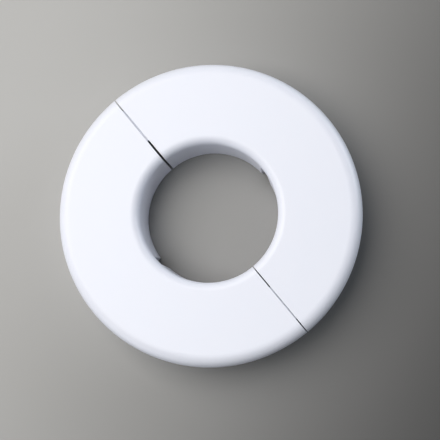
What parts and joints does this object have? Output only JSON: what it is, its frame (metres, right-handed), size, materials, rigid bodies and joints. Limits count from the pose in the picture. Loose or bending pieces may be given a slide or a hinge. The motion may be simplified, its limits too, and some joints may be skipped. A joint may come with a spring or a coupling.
{
  "type": "air conditioner pipe hole cover",
  "caption": "Split round escutcheon whose two snap-together halves close round a pipe bundle and cover the hole in the wall.",
  "frame": {"origin": "centre of the ring on the wall plane", "axes": "+Z out from the wall along the bore's axis; the two halves meet along the Y axis, the socket half at -X and the tongue half at +X"},
  "size_m": [0.11, 0.11, 0.021],
  "materials": {
    "white_plastic": "satin"
  },
  "bodies": {
    "socket_half": {"socket_half": "white_plastic"},
    "tongue_half": {"tongue_half": "white_plastic"}
  },
  "joints": [
    {"name": "halves_slide", "type": "slide", "parent": "socket_half", "child": "tongue_half", "axis": [1, 0, 0], "range_m": [0, 0.03]}
  ]
}
